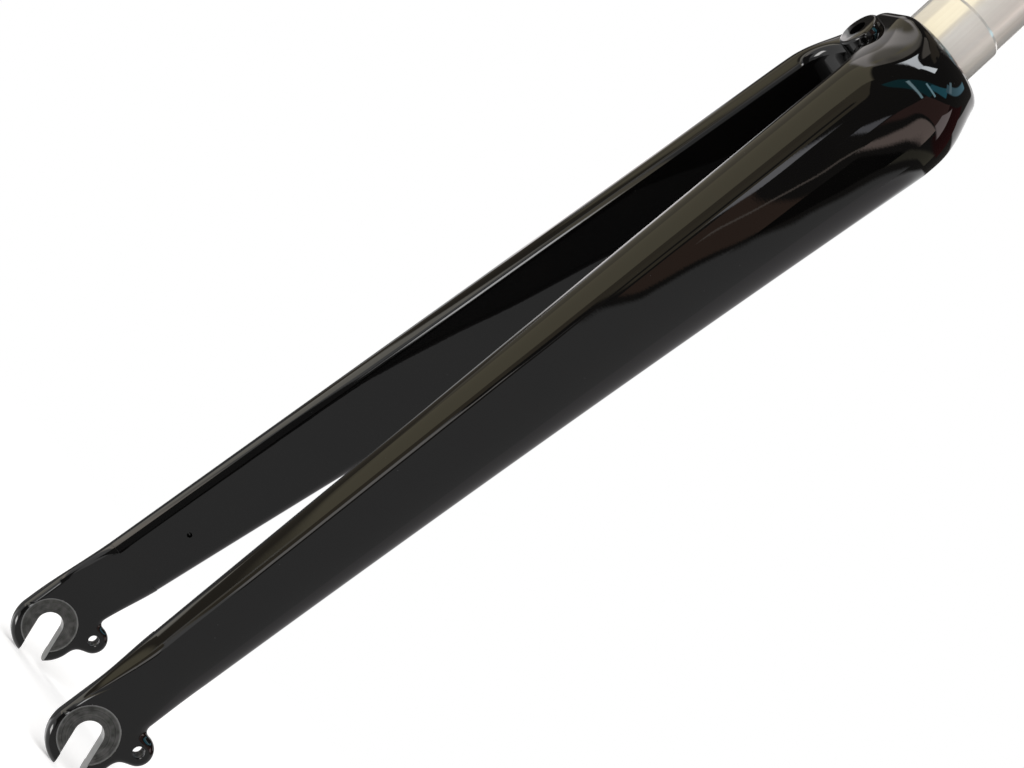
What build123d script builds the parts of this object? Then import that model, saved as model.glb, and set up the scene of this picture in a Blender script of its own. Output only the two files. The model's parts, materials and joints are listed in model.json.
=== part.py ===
from build123d import *
from math import acos, atan2, cos, hypot, radians, sin, tan
import os

os.makedirs("parts", exist_ok=True)

# Rigid fork for a 700C wheel with a rim brake: two straight blades and a crown moulded as one body,
# a turned steerer bonded into the crown, and two dropouts bonded into the blade tips.
# Millimetres. +Z runs up the steerer, +X points forwards, +Y to the rider's left.
# The origin is on the steerer axis at the crown's top face, where the race seat starts.

# Wheel and steering geometry
axle_drop = 363.0
rake = 45.0
hub_width = 100.0
slot_lean = 17.0

# Steerer
steerer_diameter = 28.6
steerer_wall = 2.3
steerer_length = 300.0
race_seat_step = 0.7
race_seat_height = 17.8
race_seat_taper = 1.2
steerer_end_chamfer = 0.6

# Crown: a round top that spreads into the two blades
crown_wall = 7.2
crown_edge_radius = 4.6
crown_ridge = 6.0
crown_height = 31.4
crown_front_height = 36.0
crown_side_height = 28.0
crown_ridge_height = 41.0
crown_underside = 23.9
arch_radius = 12.0
levels = 24
level_grading = 1.6

# Blades, where they leave the crown
front_at_crown, rear_at_crown = 27.1, -23.0
ridge_at_crown, side_at_crown, inner_at_crown = 19.7, 34.2, 14.7
front_valley = 2.2
rear_bow = 1.3
inner_edge_radius = 3.2

# Blade tips, measured from the axle
tip_rise = 35.6
tip_ahead, tip_behind = 8.1, 16.5
tip_thickness = 11.6
tip_nose = 7.8
tip_flat = 1.0
vent_diameter = 2.0
vent_depth = 4.0
vent_rise = 22.0
vent_behind_front = 13.5

# Brake mounting
brake_drop = 15.9
brake_wall = 12.0
brake_boss_diameter = 15.6
brake_boss_edge = 1.2
brake_hole_diameter = 6.3
brake_nut_wall = 7.4
brake_nut_diameter = 8.0
brake_nut_seat_diameter = 13.0
steerer_hole_clearance = 1.0

# Dropouts
plate_thickness = 6.4
clamp_face_depth = 0.4
clamp_face_diameter = 20.0
dropout_radius = 12.3
round_below_axle = 1.6
dropout_edge_radius = 2.2
dropout_tip_radius = 2.6
neck_behind = 10.0
root_length = 17.5
root_levels = 6
slot_width = 9.6
slot_reach = 20.0
eyelet_behind = 15.4
eyelet_rise = 6.9
eyelet_radius = 5.2
eyelet_hole_diameter = 4.2
eyelet_top_fillet = 3.4
eyelet_bottom_fillet = 5.0
tang_length = 18.0
tang_width = 16.0
tang_thickness = 4.4
tang_inset = 2.6
tang_corner = 1.2

# Sizes that follow from those above
steerer_radius = steerer_diameter / 2
crown_radius = steerer_radius + crown_wall
boss_face = steerer_radius + brake_wall
nut_seat_face = steerer_radius + brake_nut_wall
plate_inner = hub_width / 2 - clamp_face_depth
plate_outer = plate_inner + plate_thickness
blade_end = axle_drop - tip_rise
blade_length = blade_end - crown_height
front_at_end, rear_at_end = rake + tip_ahead, rake - tip_behind
side_at_end, inner_at_end = plate_outer, plate_outer - tip_thickness
ridge_at_end = side_at_end - tip_nose

# Slack for picking corners and edges by place, and the least turn of a rim from the direction across it
same = 0.01
rim_turn = radians(25)


def mix(start, end, share):
    return start + (end - start) * share


def ease(share):
    """A smooth rise from 0 to 1 that leaves and arrives level, without a bend."""
    share = min(share, 1)
    return share**3 * (10 - 15 * share + 6 * share**2)


def section_at(drop):
    """Front, rear, nose line, side and depth of the front valley, at a level below the crown's top."""
    share = (drop - crown_height) / blade_length
    front = mix(front_at_crown, front_at_end, share)
    rear = mix(rear_at_crown, rear_at_end, share) + rear_bow * 4 * share * (1 - share)
    ridge = mix(ridge_at_crown, ridge_at_end, share)
    side = mix(side_at_crown, side_at_end, share)
    front_share = ease(drop / crown_front_height)
    side_share = 1 - (1 - min(drop / crown_side_height, 1)) ** 3
    return (
        mix(crown_radius, front, front_share),
        mix(-crown_radius, rear, ease(drop / crown_height)),
        mix(crown_ridge, ridge, ease(drop / crown_ridge_height)),
        mix(crown_radius, side, side_share),
        front_valley * front_share,
    )


# Tang that holds the left dropout in its blade, running up along the blade
tang_rise = (
    (front_at_crown + rear_at_crown - front_at_end - rear_at_end) / 2,
    inner_at_crown - inner_at_end,
    blade_length,
)
with BuildPart() as tang:
    with BuildSketch(Plane.XY.offset(-blade_end)):
        with Locations(((front_at_end + rear_at_end) / 2, inner_at_end + tang_inset + tang_thickness / 2)):
            RectangleRounded(tang_width, tang_thickness, tang_corner)
    extrude(amount=tang_length, dir=tang_rise)

# Brake boss on the crown's front
with BuildPart() as brake_boss:
    with BuildSketch(Plane.YZ.offset(boss_face)):
        with Locations((0, -brake_drop)):
            Circle(brake_boss_diameter / 2)
    extrude(amount=-brake_wall)
    fillet(edges().group_by(Axis.X)[-1], brake_boss_edge)

# Share that a five-point Bezier takes from its middle point halfway along
bezier_middle_share = 3 / 8

# Blades and crown
with BuildPart() as fork_body:
    # Outer shape of both blades and the crown, by sections from the top down that lie closest in the crown
    for level in range(levels + 1):
        drop = blade_end * (level / levels) ** level_grading
        front, rear, ridge, side, valley = section_at(drop)
        middle, half_depth = (front + rear) / 2, (front - rear) / 2
        dip = front - valley / bezier_middle_share
        with BuildSketch(Plane.XY.offset(-drop)):
            with BuildLine():
                Bezier((front, -ridge), (front, -ridge / 2), (dip, 0), (front, ridge / 2), (front, ridge))
                EllipticalCenterArc((middle, ridge), half_depth, side - ridge, 0, arc_size=180)
                Line((rear, ridge), (rear, -ridge))
                EllipticalCenterArc((middle, -ridge), half_depth, side - ridge, 180, arc_size=180)
            make_face()
    loft()
    fillet(edges().group_by(Axis.Z)[-1], crown_edge_radius)

    # Wheel gap: flat inner faces under a rounded arch, with rounded rims
    gap_slope = (inner_at_end - inner_at_crown) / blade_length
    gap_top = inner_at_crown - gap_slope * (crown_height - crown_underside)
    gap_bottom = inner_at_end + gap_slope * tip_rise
    with BuildSketch(Plane.YZ) as gap:
        with BuildLine():
            Polyline(
                (-gap_bottom, -axle_drop),
                (-gap_top, -crown_underside),
                (gap_top, -crown_underside),
                (gap_bottom, -axle_drop),
                close=True,
            )
        make_face()
        fillet(gap.vertices().group_by(Axis.Y)[-1], arch_radius)
    extrude(amount=2 * front_at_end, both=True, mode=Mode.SUBTRACT)
    rims = edges(Select.LAST).filter_by(
        lambda edge: abs(edge.tangent_at(0.5).X) < cos(rim_turn) and edge.center().Z > -blade_end + same
    )
    fillet(rims, inner_edge_radius)

    # Brake boss, the steerer's socket right through the crown, and the brake bolt's way through both walls
    add(brake_boss.part)
    with BuildSketch(Plane.XY):
        Circle(steerer_radius)
    extrude(amount=-(crown_underside + arch_radius), mode=Mode.SUBTRACT)
    with BuildSketch(Plane.YZ.offset(boss_face)):
        with Locations((0, -brake_drop)):
            Circle(brake_hole_diameter / 2)
    extrude(amount=-boss_face, mode=Mode.SUBTRACT)
    with BuildSketch(Plane.YZ.offset(-nut_seat_face)):
        with Locations((0, -brake_drop)):
            Circle(brake_nut_seat_diameter / 2)
    extrude(amount=-crown_radius, mode=Mode.SUBTRACT)
    with BuildSketch(Plane.YZ.offset(-nut_seat_face)):
        with Locations((0, -brake_drop)):
            Circle(brake_nut_diameter / 2)
    extrude(amount=nut_seat_face, mode=Mode.SUBTRACT)

    # Vent and tang pocket in each blade
    vent_drop = blade_end - vent_rise
    vent_inner = inner_at_end - gap_slope * vent_rise
    vent_x = section_at(vent_drop)[0] - vent_behind_front
    with BuildSketch(Plane.XZ):
        with Locations((vent_x, -vent_drop)):
            Circle(vent_diameter / 2)
    extrude(amount=vent_inner + vent_depth, both=True, mode=Mode.SUBTRACT)
    add(tang.part, mode=Mode.SUBTRACT)
    mirror(tang.part, about=Plane.XZ, mode=Mode.SUBTRACT)
fork_body.part.label = "fork_body"
export_step(fork_body.part, "parts/fork_body.step")

# Steerer, turned with a race seat at the crown
bore_radius = steerer_radius - steerer_wall
seat_radius = steerer_radius + race_seat_step
with BuildPart() as steerer_tube:
    with BuildSketch(Plane.XZ):
        with BuildLine():
            Polyline(
                (bore_radius, -crown_underside),
                (steerer_radius, -crown_underside),
                (steerer_radius, 0),
                (seat_radius, 0),
                (seat_radius, race_seat_height - race_seat_taper),
                (steerer_radius, race_seat_height),
                (steerer_radius, steerer_length - steerer_end_chamfer),
                (steerer_radius - steerer_end_chamfer, steerer_length),
                (bore_radius, steerer_length),
                close=True,
            )
        make_face()
    revolve(axis=Axis.Z)
    for toward, diameter in ((1, brake_hole_diameter), (-1, brake_nut_diameter)):
        with BuildSketch(Plane.YZ):
            with Locations((0, -brake_drop)):
                Circle((diameter + steerer_hole_clearance) / 2)
        extrude(amount=toward * crown_radius, mode=Mode.SUBTRACT)
steerer_tube.part.label = "steerer_tube"
export_step(steerer_tube.part, "parts/steerer_tube.step")

# Side view of a dropout: the front edge runs from the blade's front, tangent to the round end,
# and the rear edge runs from the blade's rear into the neck
slot_way = (-sin(radians(slot_lean)), -cos(radians(slot_lean)))
axle = (rake, -axle_drop)
slot_middle = (axle[0] + slot_way[0] * slot_reach / 2, axle[1] + slot_way[1] * slot_reach / 2)
round_middle = (axle[0] + slot_way[0] * round_below_axle, axle[1] + slot_way[1] * round_below_axle)
eyelet = (rake - eyelet_behind, eyelet_rise - axle_drop)
ahead, above = front_at_end - round_middle[0], -blade_end - round_middle[1]
front_lean = atan2(above, ahead) - acos(dropout_radius / hypot(above, ahead))
front_touch = (
    round_middle[0] + dropout_radius * cos(front_lean),
    round_middle[1] + dropout_radius * sin(front_lean),
)
rear_lean = atan2(tip_behind - neck_behind, tip_rise)
root_end = blade_end + root_length
root_front = front_at_end + root_length * tan(front_lean)
root_rear = rear_at_end + root_length * tan(rear_lean)


def on_eyelet(corner):
    """Whether a corner of the dropout's outline lies on the eyelet's round."""
    return abs(hypot(corner.X - eyelet[0], corner.Y - eyelet[1]) - eyelet_radius) < same


# Left dropout
with BuildPart() as left_dropout:
    # Plate, rounded along its edges
    with BuildSketch(Plane.XZ.offset(-plate_inner)) as outline:
        with BuildLine():
            Polyline(
                (root_front, -root_end),
                front_touch,
                round_middle,
                (rake - neck_behind, -axle_drop),
                (root_rear, -root_end),
                close=True,
            )
        make_face()
        with Locations(round_middle):
            Circle(dropout_radius)
        with Locations(eyelet):
            Circle(eyelet_radius)
        fillet(outline.vertices().filter_by(on_eyelet).sort_by(Axis.Y)[-1], eyelet_top_fillet)
        fillet(outline.vertices().filter_by(on_eyelet).sort_by(Axis.Y)[0], eyelet_bottom_fillet)
        SlotCenterPoint(slot_middle, axle, slot_width / 2, mode=Mode.SUBTRACT)
        fillet(outline.vertices().sort_by(Axis.Y)[:2], dropout_tip_radius)
    extrude(amount=-plate_thickness)
    rim = edges().filter_by(
        lambda edge: abs(edge.tangent_at(0.5).Y) < sin(rim_turn) and edge.center().Z < -root_end - same
    )
    fillet(rim, dropout_edge_radius)

    # Root, from the shape of the blade's tip down to the plate
    nose = (front_at_end - rear_at_end - tip_flat) / 2
    edge_front, edge_rear = dropout_edge_radius / cos(front_lean), dropout_edge_radius / cos(rear_lean)
    for level in range(root_levels + 1):
        share = level / root_levels
        settled = ease(share)
        front, rear = mix(front_at_end, root_front, share), mix(rear_at_end, root_rear, share)
        inner = mix(inner_at_end, plate_inner, settled)
        nose_front = mix(nose, edge_front, settled)
        nose_rear = mix(nose, edge_rear, settled)
        nose_rise = mix(tip_nose, dropout_edge_radius, settled)
        heel_front = mix(inner_edge_radius, edge_front, settled)
        heel_rear = mix(inner_edge_radius, edge_rear, settled)
        heel_rise = mix(inner_edge_radius, dropout_edge_radius, settled)
        top, heel = plate_outer - nose_rise, inner + heel_rise
        with BuildSketch(Plane.XY.offset(-mix(blade_end, root_end, share))):
            with BuildLine():
                EllipticalCenterArc((front - nose_front, top), nose_front, nose_rise, 0, arc_size=90)
                Line((front - nose_front, plate_outer), (rear + nose_rear, plate_outer))
                EllipticalCenterArc((rear + nose_rear, top), nose_rear, nose_rise, 90, arc_size=90)
                Line((rear, top), (rear, heel))
                EllipticalCenterArc((rear + heel_rear, heel), heel_rear, heel_rise, 180, arc_size=90)
                Line((rear + heel_rear, inner), (front - heel_front, inner))
                EllipticalCenterArc((front - heel_front, heel), heel_front, heel_rise, 270, arc_size=90)
                Line((front, heel), (front, top))
            make_face()
    loft()
    add(tang.part)

    # Axle slot, clamp faces on both sides and the mudguard eyelet
    with BuildSketch(Plane.XZ):
        SlotCenterPoint(slot_middle, axle, slot_width)
        with Locations(eyelet):
            Circle(eyelet_hole_diameter / 2)
    extrude(amount=-2 * plate_outer, mode=Mode.SUBTRACT)
    for face, depth in ((plate_inner, -clamp_face_depth), (plate_outer, clamp_face_depth)):
        with BuildSketch(Plane.XZ.offset(-face)):
            with Locations(axle):
                Circle(clamp_face_diameter / 2)
        extrude(amount=depth, mode=Mode.SUBTRACT)
left_dropout.part.label = "left_dropout"
export_step(left_dropout.part, "parts/left_dropout.step")

# Right dropout, the left one mirrored
with BuildPart() as right_dropout:
    mirror(left_dropout.part, about=Plane.XZ)
right_dropout.part.label = "right_dropout"
export_step(right_dropout.part, "parts/right_dropout.step")
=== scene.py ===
import json
from math import radians, tau

import bmesh
import bpy
import numpy as np
from mathutils import Matrix, Vector


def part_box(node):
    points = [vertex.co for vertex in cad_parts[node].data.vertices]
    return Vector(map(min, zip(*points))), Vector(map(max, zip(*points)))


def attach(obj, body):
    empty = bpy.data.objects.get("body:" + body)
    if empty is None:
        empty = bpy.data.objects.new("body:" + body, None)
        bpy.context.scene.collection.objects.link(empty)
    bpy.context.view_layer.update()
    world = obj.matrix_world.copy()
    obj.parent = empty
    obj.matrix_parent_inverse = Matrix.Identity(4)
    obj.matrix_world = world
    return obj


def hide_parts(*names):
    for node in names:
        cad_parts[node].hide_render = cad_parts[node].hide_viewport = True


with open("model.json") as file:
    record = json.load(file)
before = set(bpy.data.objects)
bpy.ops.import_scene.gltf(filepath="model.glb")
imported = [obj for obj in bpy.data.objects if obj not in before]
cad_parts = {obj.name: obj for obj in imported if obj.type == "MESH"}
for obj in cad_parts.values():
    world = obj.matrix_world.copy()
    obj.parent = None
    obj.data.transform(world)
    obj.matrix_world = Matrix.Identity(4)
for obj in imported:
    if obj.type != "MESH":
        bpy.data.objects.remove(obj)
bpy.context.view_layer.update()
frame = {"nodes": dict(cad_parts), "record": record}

mounts = {mount["name"]: mount for mount in frame["record"]["mounts"]}
millimetre = 0.001

# Where things lie on the fork, in metres, from its mounts
axle = Vector(mounts["left_axle_slot"]["pos_m"])
slot_way = Vector(mounts["left_axle_slot"]["axis"])
hub_face = abs(mounts["left_hub_face"]["pos_m"][1])
nut_face = abs(mounts["left_nut_face"]["pos_m"][1])
race_seat_top = mounts["crown_race_seat"]["dims"]["length_mm"] * millimetre
floor_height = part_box("left_dropout")[0].z
clamp_radius = 0.010
slot_half_width = 0.0048
face_slack = 0.00008

# The moulded body's sizes: a front, rear, nose line, side and front valley set its section
crown_radius = 0.0215
crown_height = 0.0314
crown_front_height = 0.036
crown_side_height = 0.028
crown_ridge_height = 0.041
crown_edge = 0.0046
crown_ridge = 0.006
crown_underside = 0.0239
arch_radius = 0.012
inner_edge = 0.0042
front_at_crown, rear_at_crown = 0.0271, -0.0230
ridge_at_crown, side_at_crown, inner_at_crown = 0.0197, 0.0342, 0.0147
front_valley = 0.0022
rear_bow = 0.0013
blade_end = 0.3274
front_at_end, rear_at_end = 0.0531, 0.0285
ridge_at_end, side_at_end, inner_at_end = 0.0482, 0.05565, 0.0444
blade_length = blade_end - crown_height
gap_slope = (inner_at_end - inner_at_crown) / blade_length
gap_top = inner_at_crown - gap_slope * (crown_height - crown_underside)
boss_radius = 0.0078
boss_edge = 0.0012
nut_seat_radius = 0.0065
vent_radius = 0.001
vent_depth = 0.004
vent_rise = 0.022
vent_behind_front = 0.0135

# The dropouts' sizes: a plate with a round end, an eyelet and a root shaped to the blade's end
clamp_sink = 0.0004
plate_inner, plate_outer = hub_face - clamp_sink, nut_face + clamp_sink
round_radius = 0.0123
round_below_axle = 0.0016
neck_behind = 0.010
root_length = 0.0225
nose_length = 0.032
side_length = 0.0095
nose_slope = 0.133
root_heel = 0.0037
plate_rim = 0.0022
eyelet_radius = 0.0052
eyelet_top_fillet, eyelet_bottom_fillet = 0.0034, 0.0050

# The photograph's camera: where it stands, and its look and right directions on the fork
camera_place = Vector((0.30146, 0.72052, -0.24941))
camera_look = Vector((-0.3686, -0.9262, 0.0793))
camera_right = Vector((-0.6031, 0.3032, 0.7378))
picture_width_px = 1024
focal_length_px = 2270.8
sensor_width_mm = 36.0
nearest_seen = 0.01


# Shader helpers

unit_range = (0.0, 1.0)
mix_sockets = {"FLOAT": (2, 3, 0), "VECTOR": (4, 5, 1), "RGBA": (6, 7, 2)}


def put(tree, socket, value):
    """A value set on a socket, or another node's socket joined to it."""
    if isinstance(value, bpy.types.NodeSocket):
        tree.links.new(value, socket)
    else:
        socket.default_value = value


def add_node(tree, kind, inputs=None, **settings):
    """A shader node with its settings and its inputs."""
    made = tree.nodes.new("ShaderNode" + kind)
    for key, value in settings.items():
        setattr(made, key, value)
    for key, value in (inputs or {}).items():
        put(tree, made.inputs[key], value)
    return made


def join(tree, shader, **sockets):
    """Sockets or numbers put on the shader, with underscores for the spaces in their names."""
    for key, value in sockets.items():
        put(tree, shader.inputs[key.replace("_", " ")], value)


def calc(tree, operation, *values):
    """One step of arithmetic on sockets and numbers."""
    return add_node(tree, "Math", dict(enumerate(values)), operation=operation).outputs[0]


def product(tree, first, second):
    """Two values multiplied."""
    return calc(tree, "MULTIPLY", first, second)


def weigh(tree, values, weights):
    """Two values added, each times its own weight."""
    return calc(tree, "ADD", *(product(tree, *pair) for pair in zip(values, weights)))


def spread(tree, value, source, target, smooth=False):
    """The value carried from one range to another, held at the ends."""
    inputs = {"Value": value, "From Min": source[0], "From Max": source[1],
              "To Min": target[0], "To Max": target[1]}
    kind = "SMOOTHSTEP" if smooth else "LINEAR"
    return add_node(tree, "MapRange", inputs, interpolation_type=kind).outputs["Result"]


def blend(tree, share, first, second, kind="RGBA"):
    """A colour, a direction or a number between two others."""
    start, end, result = mix_sockets[kind]
    inputs = {0: share, start: first, end: second}
    return add_node(tree, "Mix", inputs, data_type=kind).outputs[result]


def grain(tree, where, scale, detail=2.0, stretch=None):
    """Noise over the piece, by its own place, with an optional stretch along the axes."""
    if stretch:
        where = add_node(tree, "Mapping", {"Vector": where, "Scale": stretch}).outputs["Vector"]
    inputs = {"Vector": where, "Scale": scale, "Detail": detail}
    return add_node(tree, "TexNoise", inputs).outputs["Fac"]


def relief(tree, height, depth, under=None):
    """Bump of a depth in metres, laid over an earlier one."""
    inputs = {"Height": height, "Strength": 1.0, "Distance": depth}
    if under:
        inputs["Normal"] = under
    return add_node(tree, "Bump", inputs).outputs["Normal"]


def new_finish(name):
    """A material with a plain shader; gives the material, its tree, the shader and the place on
    the piece."""
    material = bpy.data.materials.new(name)
    material.use_nodes = True
    tree = material.node_tree
    shader = tree.nodes["Principled BSDF"]
    where = add_node(tree, "TexCoord").outputs["Object"]
    return material, tree, shader, where


def seen_ray(tree):
    """1 for a ray from the camera, or from it by way of gloss or glass, and 0 for light that
    falls on things."""
    path = add_node(tree, "LightPath").outputs
    return calc(tree, "MAXIMUM", path["Is Camera Ray"],
                calc(tree, "MAXIMUM", path["Is Glossy Ray"], path["Is Transmission Ray"]))


# Finishes: colours, roughness at the low and the high end of a grain, and depths in metres

grain_range = (0.3, 0.7)
paint_black = (0.0012, 0.0012, 0.0014, 1.0)
paint_warm_black = (0.0030, 0.0027, 0.0024, 1.0)
paint_roughness = (0.010, 0.028)
paint_ior = 1.5
ripple_depth, peel_depth = 0.00022, 0.0000009
dust_grey = (0.05, 0.05, 0.052, 1.0)
dust_scale, dust_size, dust_rarity = 420.0, 0.05, 0.955

tube_dull, tube_bright = (0.88, 0.85, 0.79, 1.0), (0.96, 0.93, 0.88, 1.0)
tube_roughness = (0.24, 0.17)
tube_metallic = 0.6
streak_stretch, ring_stretch = (900.0, 900.0, 2.0), (2.0, 2.0, 5200.0)
streak_weights = (0.7, 0.3)
streak_depth, ring_depth = 0.0000012, 0.000003
seat_fade = 0.0015

clamp_dark, clamp_pale = (0.055, 0.055, 0.053, 1.0), (0.17, 0.168, 0.162, 1.0)
# Paler metal of the slot's bare walls, also the painted highlight on a thin ring inside the clamp
# face's rim
slot_metal_and_rim_highlight = (0.34, 0.34, 0.335, 1.0)
clamp_rim_highlight = (clamp_radius - 0.0007, clamp_radius - 0.0001)
scuff_range = (0.35, 0.65)
scuff_weights = (0.45, 0.55)
scuff_depth = 0.00004
worn_roughness = (0.5, 0.3)

thread_dark, thread_pale = (0.03, 0.03, 0.03, 1.0), (0.32, 0.32, 0.33, 1.0)
thread_metallic = 0.8
thread_grain_depth = 0.00003


def paint_layers(tree, where):
    """Deep gloss black: colour, roughness and the slow ripple and fine peel of a sprayed coat."""
    colour = blend(tree, grain(tree, where, scale=45.0), paint_black, paint_warm_black)
    specks = add_node(tree, "TexVoronoi", {"Vector": where, "Scale": dust_scale}).outputs
    dot = calc(tree, "LESS_THAN", specks["Distance"], dust_size)
    draw = add_node(tree, "SeparateColor", {"Color": specks["Color"]}).outputs[0]
    chosen = calc(tree, "GREATER_THAN", draw, dust_rarity)
    colour = blend(tree, product(tree, dot, chosen), colour, dust_grey)
    haze = grain(tree, where, scale=160.0, detail=3.0)
    roughness = spread(tree, haze, grain_range, paint_roughness)
    ripple = relief(tree, grain(tree, where, scale=26.0, detail=1.0), ripple_depth)
    peel = relief(tree, grain(tree, where, scale=1100.0, detail=1.0), peel_depth, ripple)
    return colour, roughness, peel


def gloss_black():
    """Paint on the blades and the crown."""
    material, tree, shader, where = new_finish("gloss_black_paint")
    colour, roughness, surface = paint_layers(tree, where)
    join(tree, shader, Base_Color=colour, Roughness=roughness, Normal=surface, IOR=paint_ior)
    return material


def bare_aluminium():
    """Turned tube: streaks along its length, and fine rings where the race seat was turned."""
    material, tree, shader, where = new_finish("bare_aluminium")
    along = grain(tree, where, scale=1.0, detail=4.0, stretch=streak_stretch)
    cloud = grain(tree, where, scale=60.0, detail=3.0)
    streak = weigh(tree, (along, cloud), streak_weights)
    tone = spread(tree, streak, grain_range, unit_range)
    height = add_node(tree, "SeparateXYZ", {"Vector": where}).outputs["Z"]
    turned = spread(tree, height, (race_seat_top, race_seat_top + seat_fade), (1.0, 0.0))
    rings = grain(tree, where, scale=1.0, stretch=ring_stretch)
    surface = relief(tree, along, streak_depth)
    surface = relief(tree, product(tree, rings, turned), ring_depth, surface)
    join(tree, shader, Base_Color=blend(tree, tone, tube_dull, tube_bright),
         Metallic=tube_metallic, Roughness=spread(tree, streak, grain_range, tube_roughness),
         Normal=surface)
    return material


def painted_dropout():
    """Black paint, worn to bare metal where the hub and its nut clamp and where the axle slides
    in."""
    material, tree, shader, where = new_finish("painted_dropout")
    colour, roughness, surface = paint_layers(tree, where)
    x, y, z = add_node(tree, "SeparateXYZ", {"Vector": where}).outputs
    ahead = calc(tree, "SUBTRACT", x, axle.x)
    above = calc(tree, "SUBTRACT", z, axle.z)
    side = calc(tree, "ABSOLUTE", y)

    # Distance from the axle, and the place along the slot and across it
    reach = calc(tree, "SQRT", weigh(tree, (ahead, above), (ahead, above)))
    along = weigh(tree, (ahead, above), (slot_way.x, slot_way.z))
    across = calc(tree, "ABSOLUTE", weigh(tree, (ahead, above), (-slot_way.z, slot_way.x)))

    between = product(tree, calc(tree, "GREATER_THAN", side, hub_face - face_slack),
                      calc(tree, "LESS_THAN", side, nut_face + face_slack))
    near = calc(tree, "LESS_THAN", reach, clamp_radius + face_slack)
    slot_edge = slot_half_width + face_slack
    below = product(tree, calc(tree, "GREATER_THAN", along, 0.0),
                    calc(tree, "LESS_THAN", across, slot_edge))
    in_slot = calc(tree, "MAXIMUM", below, calc(tree, "LESS_THAN", reach, slot_edge))
    bare = calc(tree, "MAXIMUM", product(tree, near, between), in_slot)

    # Scuffs: the turning nut's rings and a coarse cloud, a painted highlight at the rim, paler
    # bare metal in the slot
    by_ring = add_node(tree, "CombineXYZ", {"X": reach, "Y": 0.0, "Z": side}).outputs[0]
    rings = grain(tree, by_ring, scale=3200.0, detail=3.0)
    cloud = grain(tree, where, scale=420.0, detail=4.0)
    scuff = weigh(tree, (rings, cloud), scuff_weights)
    # Painted highlight: a thin ring just inside the clamp face's rim is lightened, as if its cut
    # edge caught the light
    rim = spread(tree, reach, clamp_rim_highlight, unit_range, smooth=True)
    metal = blend(tree, spread(tree, scuff, scuff_range, unit_range), clamp_dark, clamp_pale)
    metal = blend(tree, calc(tree, "MAXIMUM", rim, in_slot), metal, slot_metal_and_rim_highlight)
    worn = spread(tree, scuff, grain_range, worn_roughness)
    join(tree, shader, Base_Color=blend(tree, bare, colour, metal), Metallic=bare,
         Roughness=blend(tree, bare, roughness, worn, "FLOAT"),
         Normal=blend(tree, bare, surface, relief(tree, scuff, scuff_depth), "VECTOR"),
         IOR=paint_ior)
    return material


def thread_metal():
    """Cut thread, dull and dark, with a cloud of darker and paler patches."""
    material, tree, shader, where = new_finish("thread_metal")
    cloud = grain(tree, where, scale=900.0, detail=3.0)
    join(tree, shader, Base_Color=blend(tree, cloud, thread_dark, thread_pale),
         Metallic=thread_metallic, Normal=relief(tree, cloud, thread_grain_depth),
         Roughness=spread(tree, cloud, grain_range, worn_roughness))
    return material


finishes = {
    "fork_body": gloss_black(),
    "steerer_tube": bare_aluminium(),
    "left_dropout": painted_dropout(),
}
finishes["right_dropout"] = finishes["left_dropout"]
for name, finish in finishes.items():
    node = frame["nodes"][name]
    node.data.materials.clear()
    node.data.materials.append(finish)


# Meshes from whole arrays, and the tools that cut them

halvings = 36
weld_gap = 0.000008
sharp_angle = radians(38)
plug_sides = 64


def make_piece(name, points, faces, finish):
    """An object at the origin from an array of points and a list of faces, smooth shaded."""
    mesh = bpy.data.meshes.new(name)
    mesh.from_pydata(points.tolist(), [], faces)
    mesh.shade_smooth()
    mesh.materials.append(finish)
    piece = bpy.data.objects.new(name, mesh)
    bpy.context.scene.collection.objects.link(piece)
    return piece


def grid_faces(rows, columns, closed=False):
    """Quads of a grid of rows by columns; a closed grid joins the last column to the first."""
    row, column = np.meshgrid(
        np.arange(rows - 1), np.arange(columns if closed else columns - 1), indexing="ij")
    after = (column + 1) % columns
    here, above = row * columns, (row + 1) * columns
    corners = (here + column, here + after, above + after, above + column)
    return np.stack(corners, -1).reshape(-1, 4).tolist()


def tube_faces(rows, columns):
    """Quads of a closed grid, with one face over the first row and one over the last."""
    last = columns * (rows - 1)
    ends = [list(range(columns))[::-1], list(range(last, last + columns))]
    return grid_faces(rows, columns, closed=True) + ends


def turn_over(faces):
    """The same faces, looking the other way."""
    return [face[::-1] for face in faces]


def halve_in(is_inside, reach):
    """Lengths just inside and just outside the surface on each ray: the stretch from 0 to the
    reach is halved again and again, and the half that holds the surface is kept."""
    inside, outside = np.zeros_like(reach), reach
    for _ in range(halvings):
        middle = (inside + outside) / 2
        within = is_inside(middle)
        inside, outside = np.where(within, middle, inside), np.where(within, outside, middle)
    return inside, outside


def turned_plug(name, place, axis, along, radius, finish, sides=plug_sides):
    """A closed solid of revolution: at each distance along the axis a circle of that radius,
    with flat ends."""
    axis = Vector(axis)
    first = axis.orthogonal().normalized()
    second = axis.cross(first)
    angle = np.linspace(0, tau, sides, endpoint=False)[None, :, None]
    along, radius = np.array(along)[:, None, None], np.array(radius)[:, None, None]
    points = np.array(place) + along * np.array(axis)
    points = points + radius * (np.cos(angle) * np.array(first) + np.sin(angle) * np.array(second))
    return make_piece(name, points.reshape(-1, 3), tube_faces(len(along), sides), finish)


def cut(piece, tool, operation="DIFFERENCE"):
    """The piece cut by a tool, or joined to it; the tool is used up."""
    step = piece.modifiers.new(tool.name, "BOOLEAN")
    step.object, step.operation, step.solver = tool, operation, "MANIFOLD"
    bpy.context.view_layer.update()
    seen = piece.evaluated_get(bpy.context.evaluated_depsgraph_get())
    made = bpy.data.meshes.new_from_object(seen)
    piece.modifiers.clear()
    piece.data = made
    bpy.data.objects.remove(tool)


def drill(piece, name, place, axis, ends, radius, finish, sides=plug_sides):
    """A straight round hole between two distances along the axis."""
    cut(piece, turned_plug(name, place, axis, ends, (radius, radius), finish, sides))


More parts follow.
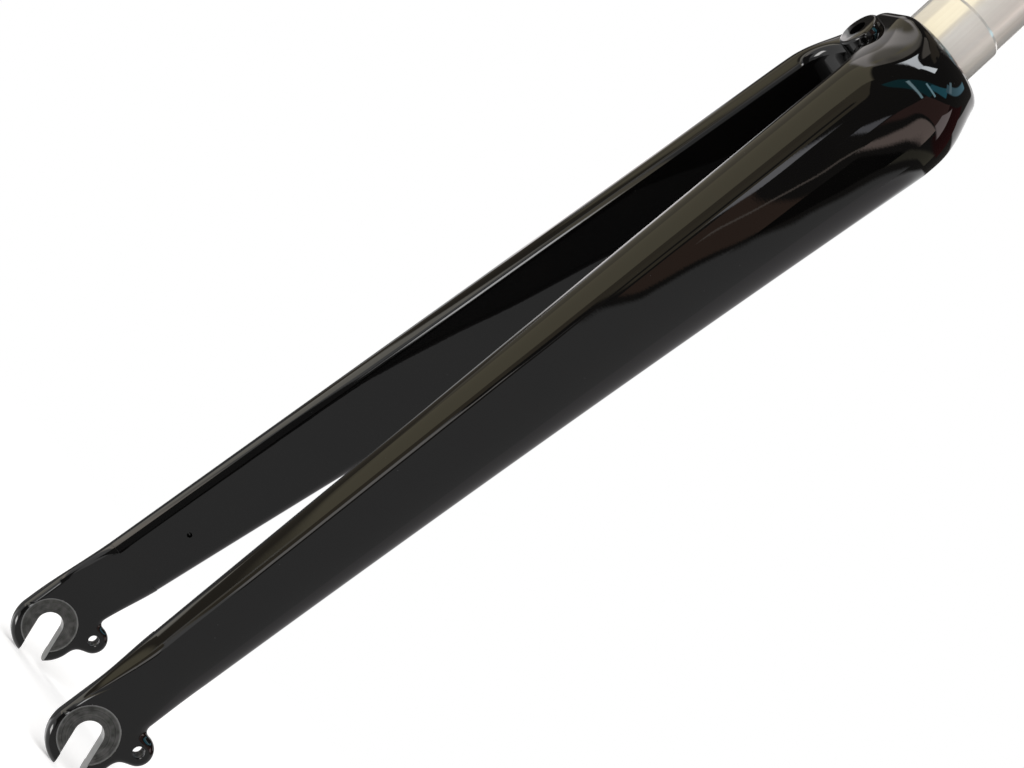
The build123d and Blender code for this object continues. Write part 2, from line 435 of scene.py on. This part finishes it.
def clean_skin(piece):
    """Points that the cuts left closer together than the weld gap are made one, slivers between
    them go, and the shading breaks at sharp edges only."""
    mesh = piece.data
    work = bmesh.new()
    work.from_mesh(mesh)
    bmesh.ops.remove_doubles(work, verts=work.verts, dist=weld_gap)
    bmesh.ops.dissolve_degenerate(work, edges=work.edges, dist=weld_gap)
    work.to_mesh(mesh)
    work.free()
    mesh.shade_smooth()
    mesh.set_sharp_from_angle(angle=sharp_angle)


# Blades and crown: one smooth skin over the moulded body

skin_rows_on_blade = 60
skin_rows_on_arch = 46
skin_rows_on_top = 6
skin_columns = 320
skin_start = 0.008
skin_reach = 0.07
slope_step = 0.00001
least_slope = 0.1
boss_edge_steps = 7
socket_tool_top = 0.01
bolt_tool_start, bolt_tool_end = 0.005, 0.05
socket_sides, vent_sides = 128, 24


def mix(start, end, share):
    """A value part of the way from one to another."""
    return start + (end - start) * share


def ease(share):
    """A smooth rise from 0 to 1 that leaves and arrives level, without a bend:
    s^3 (10 - 15 s + 6 s^2)."""
    share = np.clip(share, 0.0, 1.0)
    return share**3 * (10 - 15 * share + 6 * share**2)


def section_at(drop):
    """Front, rear, nose line, side and valley below the crown's top: straight tapers along the
    blade, with a slight bow at the rear, that ease into the crown's circle."""
    share = (drop - crown_height) / blade_length
    front = mix(front_at_crown, front_at_end, share)
    rear = mix(rear_at_crown, rear_at_end, share) + rear_bow * 4 * share * (1 - share)
    ridge = mix(ridge_at_crown, ridge_at_end, share)
    side = mix(side_at_crown, side_at_end, share)
    front_share = ease(drop / crown_front_height)
    side_share = 1 - (1 - np.clip(drop / crown_side_height, 0.0, 1.0)) ** 3
    return (
        mix(crown_radius, front, front_share),
        mix(-crown_radius, rear, ease(drop / crown_height)),
        mix(crown_ridge, ridge, ease(drop / crown_ridge_height)),
        mix(crown_radius, side, side_share),
        front_valley * front_share,
    )


def rounded_meet(first, second, radius):
    """What two solids share, each given as a distance that is below 0 inside, with the edge
    between them rounded."""
    first, second = first + radius, second + radius
    corner = np.hypot(np.maximum(first, 0.0), np.maximum(second, 0.0))
    return np.minimum(np.maximum(first, second), 0.0) + corner - radius


def wall_field(x, y, z):
    """Below 0 inside the outer wall: half an ellipse outside each nose line, and between the
    nose lines a flat back and a front that dips by valley (1 - (y / ridge)^2)^2."""
    front, rear, ridge, side, valley = section_at(-z)
    y = np.abs(y)
    middle, half = (front + rear) / 2, (front - rear) / 2
    dip = valley * np.clip(1 - (y / ridge) ** 2, 0.0, None) ** 2
    along = np.where(x > middle, (x - middle) / (half - dip), (middle - x) / half)
    return np.hypot(along, np.maximum(y - ridge, 0.0) / (side - ridge)) - 1.0


def wall_distance(x, y, z):
    """The field divided by its own slope, which is a distance close to the wall."""
    across = wall_field(x + slope_step, y, z) - wall_field(x - slope_step, y, z)
    beside = wall_field(x, y + slope_step, z) - wall_field(x, y - slope_step, z)
    upward = wall_field(x, y, z + slope_step) - wall_field(x, y, z - slope_step)
    slope = np.sqrt(across**2 + beside**2 + upward**2) / (2 * slope_step)
    return wall_field(x, y, z) / np.maximum(slope, least_slope)


def body_distance(x, y, z):
    """Below 0 inside the body: the outer wall under a rounded top, less the wheel gap with its
    rounded arch and rims."""
    outer = rounded_meet(wall_distance(x, y, z), z, crown_edge)
    beside = (np.abs(y) - gap_top + gap_slope * (z + crown_underside)) / np.hypot(1.0, gap_slope)
    gap = rounded_meet(beside, z + crown_underside, arch_radius)
    return rounded_meet(outer, -gap, inner_edge)


def gap_path():
    """Points along the wheel gap's wall and the way into the body at each, in Y and Z: up the
    left blade with the way level, round the arch with the way turning about the arch's centre,
    over its flat top, and down the right side likewise."""
    centre_y = gap_top + gap_slope * arch_radius - arch_radius
    centre_z = -crown_underside - arch_radius
    height = np.linspace(-blade_end, centre_z, skin_rows_on_blade, endpoint=False)
    blade = np.stack([gap_top - gap_slope * (height + crown_underside), height], 1)
    turn = np.linspace(0, np.pi / 2, skin_rows_on_arch)
    arch_way = np.stack([np.cos(turn), np.sin(turn)], 1)
    arch = np.array([centre_y, centre_z]) + arch_radius * arch_way
    over = np.linspace(centre_y, -centre_y, skin_rows_on_top + 2)[1:-1]
    top = np.stack([over, np.full_like(over, -crown_underside)], 1)
    left = np.concatenate([blade, arch])
    left_way = np.concatenate([np.tile((1.0, 0.0), (skin_rows_on_blade, 1)), arch_way])
    top_way = np.tile((0.0, 1.0), (skin_rows_on_top, 1))
    other_side = np.array([-1.0, 1.0])
    return (
        np.concatenate([left, top, left[::-1] * other_side]),
        np.concatenate([left_way, top_way, left_way[::-1] * other_side]),
    )


def body_points():
    """The skin as rows of rings. Each ring lies in the plane of X and the way into the body:
    from a point inside, a ray leaves at each angle and ends on the body's surface."""
    wall, way = gap_path()
    start = wall + way * skin_start
    front, rear = section_at(-start[:, 1])[:2]
    x, y, z = ((front + rear) / 2)[:, None], start[:, :1], start[:, 1:]
    angle = np.linspace(0, tau, skin_columns, endpoint=False)[None, :]
    ray_x, ray_y, ray_z = np.cos(angle), np.sin(angle) * way[:, :1], np.sin(angle) * way[:, 1:]

    def along_ray(length):
        """The place at a length along each ray: its start + length times its direction."""
        return x + length * ray_x, y + length * ray_y, z + length * ray_z

    inside, outside = halve_in(lambda length: body_distance(*along_ray(length)) < 0,
                               np.full((len(wall), skin_columns), skin_reach))
    return np.stack(along_ray((inside + outside) / 2), -1)


def mould_body(finish):
    """The skin with its brake boss, the steerer's socket, the brake bolt's way through and the
    blades' vents."""
    points = body_points()
    faces = tube_faces(*points.shape[:2])
    body = make_piece("fork_skin", points.reshape(-1, 3), faces, finish)

    boss_face = Vector(mounts["brake_boss_face"]["pos_m"]).x
    nut_seat = -Vector(mounts["brake_nut_seat"]["pos_m"]).x
    bolt, nut = mounts["brake_bolt_hole"], mounts["brake_nut_hole"]
    socket_radius = mounts["steerer"]["dims"]["r_mm"] * millimetre
    bolt_radius, nut_radius = bolt["dims"]["r_mm"] * millimetre, nut["dims"]["r_mm"] * millimetre
    bolt_axis = (0.0, 0.0, bolt["pos_m"][2])
    quarter = np.linspace(0, np.pi / 2, boss_edge_steps)
    boss_along = [socket_radius, *(boss_face - boss_edge + boss_edge * np.sin(quarter))]
    boss_radii = [boss_radius, *(boss_radius - boss_edge + boss_edge * np.cos(quarter))]
    cut(body, turned_plug("boss", bolt_axis, (1, 0, 0), boss_along, boss_radii, finish), "UNION")
    drill(body, "socket", (0, 0, 0), (0, 0, 1), (-2 * crown_underside, socket_tool_top),
          socket_radius, finish, socket_sides)
    drill(body, "bolt_hole", bolt_axis, (1, 0, 0), (bolt_tool_start, bolt_tool_end),
          bolt_radius, finish)
    cut(body, turned_plug("nut_hole", bolt_axis, (-1, 0, 0),
                          (bolt_tool_start, nut_seat, nut_seat, bolt_tool_end),
                          (nut_radius, nut_radius, nut_seat_radius, nut_seat_radius), finish))

    vent_drop = blade_end - vent_rise
    vent_x = section_at(vent_drop)[0] - vent_behind_front
    vent_wall = inner_at_end - gap_slope * vent_rise
    for side in (1, -1):
        drill(body, "vent", (vent_x, 0, -vent_drop), (0, side, 0),
              (vent_wall - vent_depth, vent_wall + vent_depth), vent_radius, finish, vent_sides)
    clean_skin(body)
    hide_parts("fork_body")
    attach(body, "root")


mould_body(finishes["fork_body"])


# Dropouts: a smooth skin over each plate and its root

dropout_angles = 420
joint_angles = 90
rim_rows, face_rows = 26, 12
rim_share, centre_share = 0.5, 0.02
longest_ray = 0.06
dropout_tool_start, dropout_tool_end = 0.040, 0.065
slot_tool_length = 0.03
slot_end_points = 48
clamp_sides, eyelet_sides = 96, 48


def round_middle():
    """Centre of the dropout's round end, just below the axle along the slot."""
    return axle.x + slot_way.x * round_below_axle, axle.z + slot_way.z * round_below_axle


def plate_outline(x, z):
    """Below 0 inside the side view: between the front line, tangent to the round end, and the
    rear line, joined to the round end, and to the eyelet with a fillet above and below it."""
    middle_x, middle_z = round_middle()
    ahead, above = front_at_end - middle_x, -blade_end - middle_z
    lean = np.arctan2(above, ahead) - np.arccos(round_radius / np.hypot(above, ahead))
    front = (x - middle_x) * np.cos(lean) + (z - middle_z) * np.sin(lean) - round_radius
    run_x, run_z = axle.x - neck_behind - rear_at_end, axle.z + blade_end
    run = np.hypot(run_x, run_z)
    rear = (x - rear_at_end) * run_z / run - (z + blade_end) * run_x / run
    wedge = np.maximum(np.maximum(front, rear), axle.z - z)
    plate = np.minimum(wedge, np.hypot(x - middle_x, z - middle_z) - round_radius)
    eyelet_x, _, eyelet_z = mounts["left_eyelet"]["pos_m"]
    eyelet = np.hypot(x - eyelet_x, z - eyelet_z) - eyelet_radius
    fillet = np.where(z > eyelet_z, eyelet_top_fillet, eyelet_bottom_fillet)
    return -rounded_meet(-plate, -eyelet, fillet)


def slow_turn(share, slope=0.0):
    """A gentler rise from 0 to 1 that leaves at a slope and arrives level:
    s^2 (3 - 2 s) + slope s (1 - s)^2."""
    share = np.clip(share, 0.0, 1.0)
    return share**2 * (3 - 2 * share) + slope * share * (1 - share) ** 2


def round_fall(depth, width, fall):
    """How far a face has fallen at a depth inside its edge: a quarter of an ellipse, from the
    fall at 0 to none at the width."""
    return fall * (1 - np.sqrt(1 - (1 - np.clip(depth / width, 0.0, 1.0)) ** 2))


def plate_faces(x, z):
    """Outer and inner face of the plate at a place in the side view: flat, with edges that ease
    from the blade's wide nose and heel at the joint to the plate's own rim, while the inner face
    eases out to the plate."""
    drop = -z - blade_end
    settled = slow_turn(drop / root_length, gap_slope * root_length / (plate_inner - inner_at_end))
    narrowed = slow_turn(drop / nose_length, nose_slope)
    side_rise = (1 - np.clip(drop / side_length, 0.0, 1.0)) ** 2
    outer = plate_outer - (plate_outer - side_at_end) * side_rise
    depth = np.maximum(-plate_outline(x, z), 0.0)
    nose = mix((front_at_end - rear_at_end) / 2, plate_rim, narrowed)
    rise = mix(side_at_end - ridge_at_end, plate_rim, narrowed)
    heel = mix(root_heel, plate_rim, settled)
    inner = mix(inner_at_end, plate_inner, settled)
    return outer - round_fall(depth, nose, rise), inner + round_fall(depth, heel, heel)


def dropout_points():
    """Rays from the round end's centre, each up to the outline or the joint with the blade;
    along a ray the rows lie at its length (1 - share (1 - cos t)), close together at the rim,
    and then evenly to the centre. The angles lie closest at the joint's two corners. Gives the
    outer and the inner sheet."""
    middle_x, middle_z = round_middle()
    above = -blade_end - middle_z
    first = np.arctan2(above, front_at_end - middle_x)
    last = np.arctan2(above, rear_at_end - middle_x)
    joint_turn = np.linspace(0, np.pi, joint_angles, endpoint=False)
    joint = mix(first, last, (1 - np.cos(joint_turn)) / 2)
    round_way = np.linspace(last, first + tau, dropout_angles, endpoint=False)
    angle = np.concatenate([joint, round_way])

    def along_ray(length):
        """The place at a length along each ray: the centre + length (cos angle, sin angle)."""
        return middle_x + length * np.cos(angle), middle_z + length * np.sin(angle)

    def is_inside(length):
        """Whether that place is inside the outline and below the joint."""
        x, z = along_ray(length)
        return (plate_outline(x, z) < 0) & (z < -blade_end)

    inside, _ = halve_in(is_inside, np.full_like(angle, longest_ray))
    rim = 1 - rim_share * (1 - np.cos(np.linspace(0, np.pi / 2, rim_rows)))
    face = np.linspace(1 - rim_share, centre_share, face_rows + 1)[1:]
    x, z = along_ray(np.concatenate([rim, face])[:, None] * inside)
    outer, inner = plate_faces(x, z)
    return np.stack([x, outer, z], -1), np.stack([x, inner, z], -1)


def slot_plug(name, side, finish):
    """A prism with the axle slot's outline: half a circle round the axle and straight sides down
    the slot's way."""
    turn = np.linspace(0, np.pi, slot_end_points)
    across = slot_half_width * np.array([*np.cos(turn), -1.0, 1.0])
    upward = np.array([*(slot_half_width * np.sin(turn)), -slot_tool_length, -slot_tool_length])
    x = axle.x - slot_way.x * upward - slot_way.z * across
    z = axle.z - slot_way.z * upward + slot_way.x * across
    ends = side * np.array([dropout_tool_start, dropout_tool_end])[:, None]
    points = np.stack(np.broadcast_arrays(x[None, :], ends, z[None, :]), -1).reshape(-1, 3)
    faces = tube_faces(2, len(x))
    return make_piece(name, points, faces if side < 0 else turn_over(faces), finish)


def forge_dropout(name, side, finish):
    """The skin of one dropout with its axle slot, the clamp faces sunk on both sides and the
    eyelet's hole."""
    outer, inner = dropout_points()
    rows, columns = outer.shape[:2]
    points = np.concatenate([outer, inner]).reshape(-1, 3) * (1.0, side, 1.0)
    count = rows * columns
    rim = np.arange(columns)
    after = (rim + 1) % columns
    wall = np.stack([rim, after, count + after, count + rim], -1).tolist()
    sheet = grid_faces(rows, columns, closed=True)
    hub = list(range(count - columns, count))
    faces = turn_over(sheet) + [[count + corner for corner in face] for face in sheet]
    faces += wall + [hub[::-1], [count + corner for corner in hub]]
    piece = make_piece(name + "_skin", points, turn_over(faces) if side < 0 else faces, finish)
    cut(piece, slot_plug("axle_slot", side, finish))
    for ends in ((dropout_tool_start, hub_face), (nut_face, dropout_tool_end)):
        drill(piece, "clamp_face", (axle.x, 0.0, axle.z), (0, side, 0), ends,
              clamp_radius, finish, clamp_sides)
    hole = mounts["left_eyelet"]
    hole_x, _, hole_z = hole["pos_m"]
    drill(piece, "eyelet_hole", (hole_x, 0.0, hole_z), (0, side, 0),
          (dropout_tool_start, dropout_tool_end), hole["dims"]["r_mm"] * millimetre, finish,
          eyelet_sides)
    clean_skin(piece)
    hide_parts(name)
    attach(piece, "root")


for name, side in (("left_dropout", 1), ("right_dropout", -1)):
    forge_dropout(name, side, finishes[name])


# Mudguard threads; the foot and crest are half widths, as shares of the pitch

thread_pitch = 0.0008
thread_depth = 0.00026
thread_root = 0.00004
thread_foot, thread_crest = 0.44, 0.08
thread_steps = 28
thread_inset = 0.0006


def eyelet_thread(name, mount, finish):
    """A ridge wound round the eyelet's wall. Its section is a trapezium: wide at the wall,
    narrow at the crest. At turn t the section stands at angle tau t, and each of its points lies
    at the start + pitch t + its own height along the hole, at the wall's radius less its own
    depth. Both ends are closed by their section."""
    wall = mount["dims"]["r_mm"] * millimetre
    length = mount["dims"]["length_mm"] * millimetre
    turns = (length - 2 * thread_inset) / thread_pitch
    turn = np.linspace(0.0, turns, int(turns * thread_steps) + 1)[:, None]
    height = thread_pitch * np.array([-thread_foot, -thread_crest, thread_crest, thread_foot])
    radius = wall + np.array([thread_root, -thread_depth, -thread_depth, thread_root])
    along = turn * thread_pitch + height - turns * thread_pitch / 2
    middle = np.array(mount["pos_m"])
    points = np.stack([
        middle[0] + radius * np.cos(tau * turn),
        middle[1] + along,
        middle[2] + radius * np.sin(tau * turn),
    ], -1).reshape(-1, 3)
    piece = make_piece(name, points, turn_over(tube_faces(*along.shape)), finish)
    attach(piece, "root")


cut_thread = thread_metal()
for side in ("left", "right"):
    eyelet_thread(side + "_eyelet_thread", mounts[side + "_eyelet"], cut_thread)


# Studio: floor, reflecting cards, lamps, world and camera

floor_radius, floor_hole = 1.2, 0.001
floor_rings, floor_sides = 24, 96
floor_fade = (0.30, 0.75)
floor_glow = (0.0, 0.30)
floor_dull, floor_pale = (0.90, 0.89, 0.885, 1.0), (0.94, 0.935, 0.93, 1.0)
floor_roughness = 0.9
white = (1.0, 1.0, 1.0, 1.0)
world_light = (0.6, 1.0)
card_distance = 40.0
card_step = 0.1
card_rows, card_columns = 9, 25
narrowest_rim = 0.45
fork_middle = Vector((0.02, 0.0, -0.15))


def floor_finish():
    """Pale matt floor that thins out to the plain background away from the fork. A little glow,
    which is seen but lights nothing, brings it to white and leaves the shadow."""
    material, tree, shader, where = new_finish("pale_floor")
    tone = blend(tree, grain(tree, where, scale=9.0), floor_dull, floor_pale)
    reach = add_node(tree, "VectorMath", {0: where}, operation="LENGTH").outputs["Value"]
    join(tree, shader, Base_Color=tone, Roughness=floor_roughness, Specular_IOR_Level=0.0,
         Emission_Color=white,
         Emission_Strength=spread(tree, seen_ray(tree), unit_range, floor_glow),
         Alpha=spread(tree, reach, floor_fade, (1.0, 0.0), smooth=True))
    return material


def lay_floor():
    """A flat disc of rings: radius r at angle a is (r cos a, r sin a) at the floor's height."""
    ring, angle = np.meshgrid(np.linspace(floor_hole, floor_radius, floor_rings),
                              np.linspace(0, tau, floor_sides, endpoint=False), indexing="ij")
    points = np.stack([ring * np.cos(angle), ring * np.sin(angle), np.zeros_like(ring)], -1)
    faces = grid_faces(floor_rings, floor_sides, closed=True)
    piece = make_piece("floor", points.reshape(-1, 3), faces, floor_finish())
    piece.location.z = floor_height
    piece.visible_glossy = False


def card_finish(name, glow):
    """A plain glow that fades out over the card's rim, so that its reflection ends gently."""
    material = bpy.data.materials.new(name)
    material.use_nodes = True
    material.cycles.emission_sampling = "NONE"
    tree = material.node_tree
    tree.nodes.clear()
    place = add_node(tree, "TexCoord").outputs["UV"]
    inward = add_node(tree, "SeparateXYZ", {"Vector": place}).outputs["X"]
    fade = spread(tree, inward, unit_range, unit_range, smooth=True)
    light = add_node(tree, "Emission", {"Color": (*glow, 1.0)}).outputs[0]
    clear = add_node(tree, "BsdfTransparent").outputs[0]
    mixed = add_node(tree, "MixShader", {0: fade, 1: clear, 2: light}).outputs[0]
    add_node(tree, "OutputMaterial", {"Surface": mixed})
    return material


def hang_card(name, azimuths, first_ends, second_ends, glow, rim, distance):
    """Part of a far sphere round the fork, seen only in reflections: the point at azimuth a,
    from +X towards +Y, and elevation e is distance (cos e cos a, cos e sin a, sin e). Its lower
    and upper ends slant evenly from the first azimuth to the second, and a border as wide as the
    rim, in degrees, carries the fade in its UV."""
    start, end = azimuths
    side_rim = min(rim, narrowest_rim * (end - start))
    middle = np.linspace(start + side_rim, end - side_rim, card_columns)
    azimuth = np.concatenate([[start], middle, [end]])
    share = (azimuth - start) / (end - start)
    low, high = (mix(first, second, share) for first, second in zip(first_ends, second_ends))
    end_rim = np.minimum(rim, narrowest_rim * (high - low))
    inner = mix(low + end_rim, high - end_rim, np.linspace(0, 1, card_rows)[:, None])
    elevation = np.radians(np.concatenate([low[None], inner, high[None]]))
    turn = np.broadcast_to(np.radians(azimuth), elevation.shape)
    level = np.cos(elevation)
    way = np.stack([level * np.cos(turn), level * np.sin(turn), np.sin(elevation)], -1)
    points = np.array(fork_middle) + distance * way.reshape(-1, 3)
    piece = make_piece(name, points, grid_faces(*elevation.shape), card_finish(name, glow))
    inward = np.zeros((*elevation.shape, 2))
    inward[1:-1, 1:-1, 0] = 1.0
    corners = np.empty(len(piece.data.loops), dtype=np.int32)
    piece.data.loops.foreach_get("vertex_index", corners)
    layer = piece.data.uv_layers.new(name="UVMap")
    layer.uv.foreach_set("vector", inward.reshape(-1, 2)[corners].ravel())
    piece.visible_camera = False
    piece.visible_diffuse = False
    piece.visible_shadow = False


# Cards: azimuths, lower and upper end at each, glow and rim; a later card hangs in front
cards = {
    "dark_front_card": ((-130, 60), (16, 90), (16, 90), (0.07, 0.065, 0.06), 1.0),
    "dark_back_card": ((54, 236), (16, 90), (14, 90), (0.07, 0.065, 0.06), 1.0),
    "brown_top_card": ((-80, 66), (67, 86), (67, 86), (0.3, 0.25, 0.19), 3.0),
    "low_grey_card": ((57, 112), (-60, 20.6), (-60, 19.1), (0.50, 0.50, 0.50), 0.6),
    "low_grey_back_card": ((109, 162), (-60, 19.3), (-60, 16.8), (0.5, 0.5, 0.5), 0.8),
    "low_pale_card": ((152, 228), (-60, 17.0), (-60, 12.0), (0.60, 0.58, 0.59), 2.0),
    "olive_ledge_card": ((137, 182), (18.6, 20.4), (16.5, 20.5), (0.3, 0.28, 0.21), 0.7),
    "table_card": ((-30, 56), (-6, 0.5), (-11, -5), (2.8, 2.55, 2.25), 3.0),
    "table_edge_card": ((42, 86), (2.5, 7.0), (-0.9, 3.0), (1.2, 1.08, 0.82), 1.0),
    "dim_line_card": ((-64, 38), (2.4, 12.8), (3.5, 12.8), (0.30, 0.26, 0.20), 1.2),
    "post_card": ((37.5, 50), (6.5, 10.6), (6.5, 10.6), (1.1, 1.0, 0.8), 1.5),
    "dark_left_card": ((-104, -36), (-20, 8), (-20, 4), (0.22, 0.22, 0.22), 2.0),
    "left_light_card": ((-112, -64), (8, 15), (9, 16), (2.4, 2.3, 2.3), 1.5),
    "cream_left_card": ((-66, -6), (13, 29), (9, 57), (0.75, 0.67, 0.5), 3.0),
    "cream_upper_card": ((-60, 8), (30, 53), (46, 58), (1.0, 0.92, 0.80), 3.0),
    "cream_wall_card": ((-16, 45), (9, 56), (9, 43), (1.15, 1.03, 0.71), 3.0),
    "cream_right_card": ((43, 66), (20, 41), (21, 31), (0.5, 0.43, 0.3), 1.0),
    "brown_streak_card": ((42, 52), (6.5, 30), (7.5, 30), (0.45, 0.38, 0.27), 1.2),
    "white_band_card": ((-84, -30), (20, 37), (30, 49), (1.15, 1.09, 1.06), 6.0),
    "bright_band_card": ((-50, 4), (27, 47), (46, 54), (2.3, 2.15, 2.05), 5.0),
    "grey_patch_card": ((2, 34), (59, 66), (60, 70), (0.85, 0.78, 0.68), 1.5),
    "dark_red_card": ((150, 192), (21, 44), (19, 44), (0.12, 0.03, 0.03), 1.0),
    "brown_wall_card": ((100, 150), (25.6, 37), (23.2, 44), (0.36, 0.19, 0.165), 0.7),
    "brown_band_card": ((68, 124), (20.6, 25.5), (18.8, 20.2), (0.38, 0.24, 0.18), 0.4),
    "pale_thread_card": ((78, 112), (22.0, 22.5), (23.4, 23.9), (1.0, 0.85, 0.75), 0.2),
    "pale_streak_card": ((90, 99.5), (25.6, 26.6), (25.2, 27.0), (1.2, 1.2, 1.3), 0.4),
    "black_wedge_card": ((113, 140), (18.9, 22.6), (18.4, 20.2), (0.0, 0.0, 0.0), 0.4),
    "pink_low_card": ((108, 147), (23.0, 24.3), (20.4, 23.6), (1.6, 1.25, 1.12), 0.6),
    "pink_wall_card": ((141, 160), (23.5, 32), (21.5, 43), (1.8, 1.5, 1.48), 1.2),
    "teal_dark_card": ((58, 106), (40, 46.5), (36.5, 53), (0.05, 0.32, 0.38), 1.0),
    "teal_low_card": ((92, 134), (44, 50), (46, 58), (0.2, 0.95, 1.25), 1.0),
    "teal_high_card": ((128, 200), (52, 62), (52, 59), (0.5, 1.0, 1.25), 1.5),
    "teal_spot_card": ((138, 149), (53, 65), (53, 65), (1.2, 1.8, 2.1), 1.5),
    "pale_line_card": ((66, 100), (44.8, 46.6), (33.0, 35.0), (2.4, 3.6, 4.0), 0.5),
    "pale_line_two_card": ((84, 112), (47.0, 49), (39.5, 42), (2.4, 4.0, 4.6), 0.5),
    "window_card": ((16, 52), (55.6, 58.4), (55.6, 59.5), (8.0, 8.4, 8.8), 0.6),
    "window_tall_card": ((50, 82), (56, 60), (61, 69), (9.5, 10.0, 10.4), 1.0),
    "rim_light_card": ((189, 242), (28, 36), (16, 44), (1.0, 0.98, 0.98), 1.5),
    "streak_white_card": ((52, 58), (8, 15), (9, 19), (2.2, 2.1, 2.0), 0.8),
    "streak_dark_card": ((58, 61.5), (8, 30), (9, 30), (0.1, 0.09, 0.08), 0.6),
    "spot_card": ((63.5, 73), (23.0, 27.0), (25, 27.5), (2.0, 2.0, 2.1), 0.8),
    "hook_light_card": ((16, 58), (-47, -30), (-47, -30), (12.0, 11.8, 11.6), 5.0),
    "table_far_card": ((-28, 46), (-4.5, 6.4), (-0.6, 4.2), (2.2, 2.1, 1.85), 1.5),
    "dark_low_card": ((26, 92), (-22, -1.3), (-22, -5.5), (0.10, 0.10, 0.10), 1.2),
    "far_line_card": ((65, 82), (-5.6, 2.4), (-5.6, 2.4), (8.0, 8.0, 8.0), 2.5),
}

# Lamps: place, width in metres, power in watts and colour
lamps = {
    "window_lamp": ((0.75, -0.95, 0.35), 0.7, 5.0, (1.0, 0.98, 0.95)),
    "top_lamp": ((0.35, 0.85, 0.80), 1.2, 9.0, (1.0, 1.0, 1.0)),
}


def add_lamp(name, place, width, power, colour):
    """A square soft lamp that faces the fork."""
    lamp = bpy.data.lights.new(name, "AREA")
    lamp.size = width
    lamp.energy = power
    lamp.color = colour
    rig = bpy.data.objects.new(name, lamp)
    rig.location = place
    rig.rotation_euler = (fork_middle - Vector(place)).to_track_quat("-Z", "Y").to_euler()
    rig.visible_glossy = False
    bpy.context.scene.collection.objects.link(rig)


def hang_world():
    """White to the eye and in reflections, and a plain level of light on everything else."""
    world = bpy.data.worlds.new("studio")
    world.use_nodes = True
    tree = world.node_tree
    tree.nodes.clear()
    strength = spread(tree, seen_ray(tree), unit_range, world_light)
    background = add_node(tree, "Background", {"Color": white, "Strength": strength})
    add_node(tree, "OutputWorld", {"Surface": background.outputs[0]})
    bpy.context.scene.world = world


def set_camera():
    """The photograph's camera, from its place and two of its directions."""
    lens = bpy.data.cameras.new("camera")
    lens.sensor_width = sensor_width_mm
    lens.lens = focal_length_px / picture_width_px * sensor_width_mm
    lens.clip_start = nearest_seen
    back = -camera_look.normalized()
    right = (camera_right - back * camera_right.dot(back)).normalized()
    up = back.cross(right)
    turn = Matrix((right, up, back)).transposed().to_4x4()
    camera = bpy.data.objects.new("camera", lens)
    camera.matrix_world = Matrix.Translation(camera_place) @ turn
    bpy.context.scene.collection.objects.link(camera)
    bpy.context.scene.camera = camera


lay_floor()
for order, (name, card) in enumerate(cards.items()):
    hang_card(name, *card, card_distance - card_step * order)
for name, lamp in lamps.items():
    add_lamp(name, *lamp)
hang_world()
set_camera()
bpy.context.scene.view_settings.view_transform = "Standard"
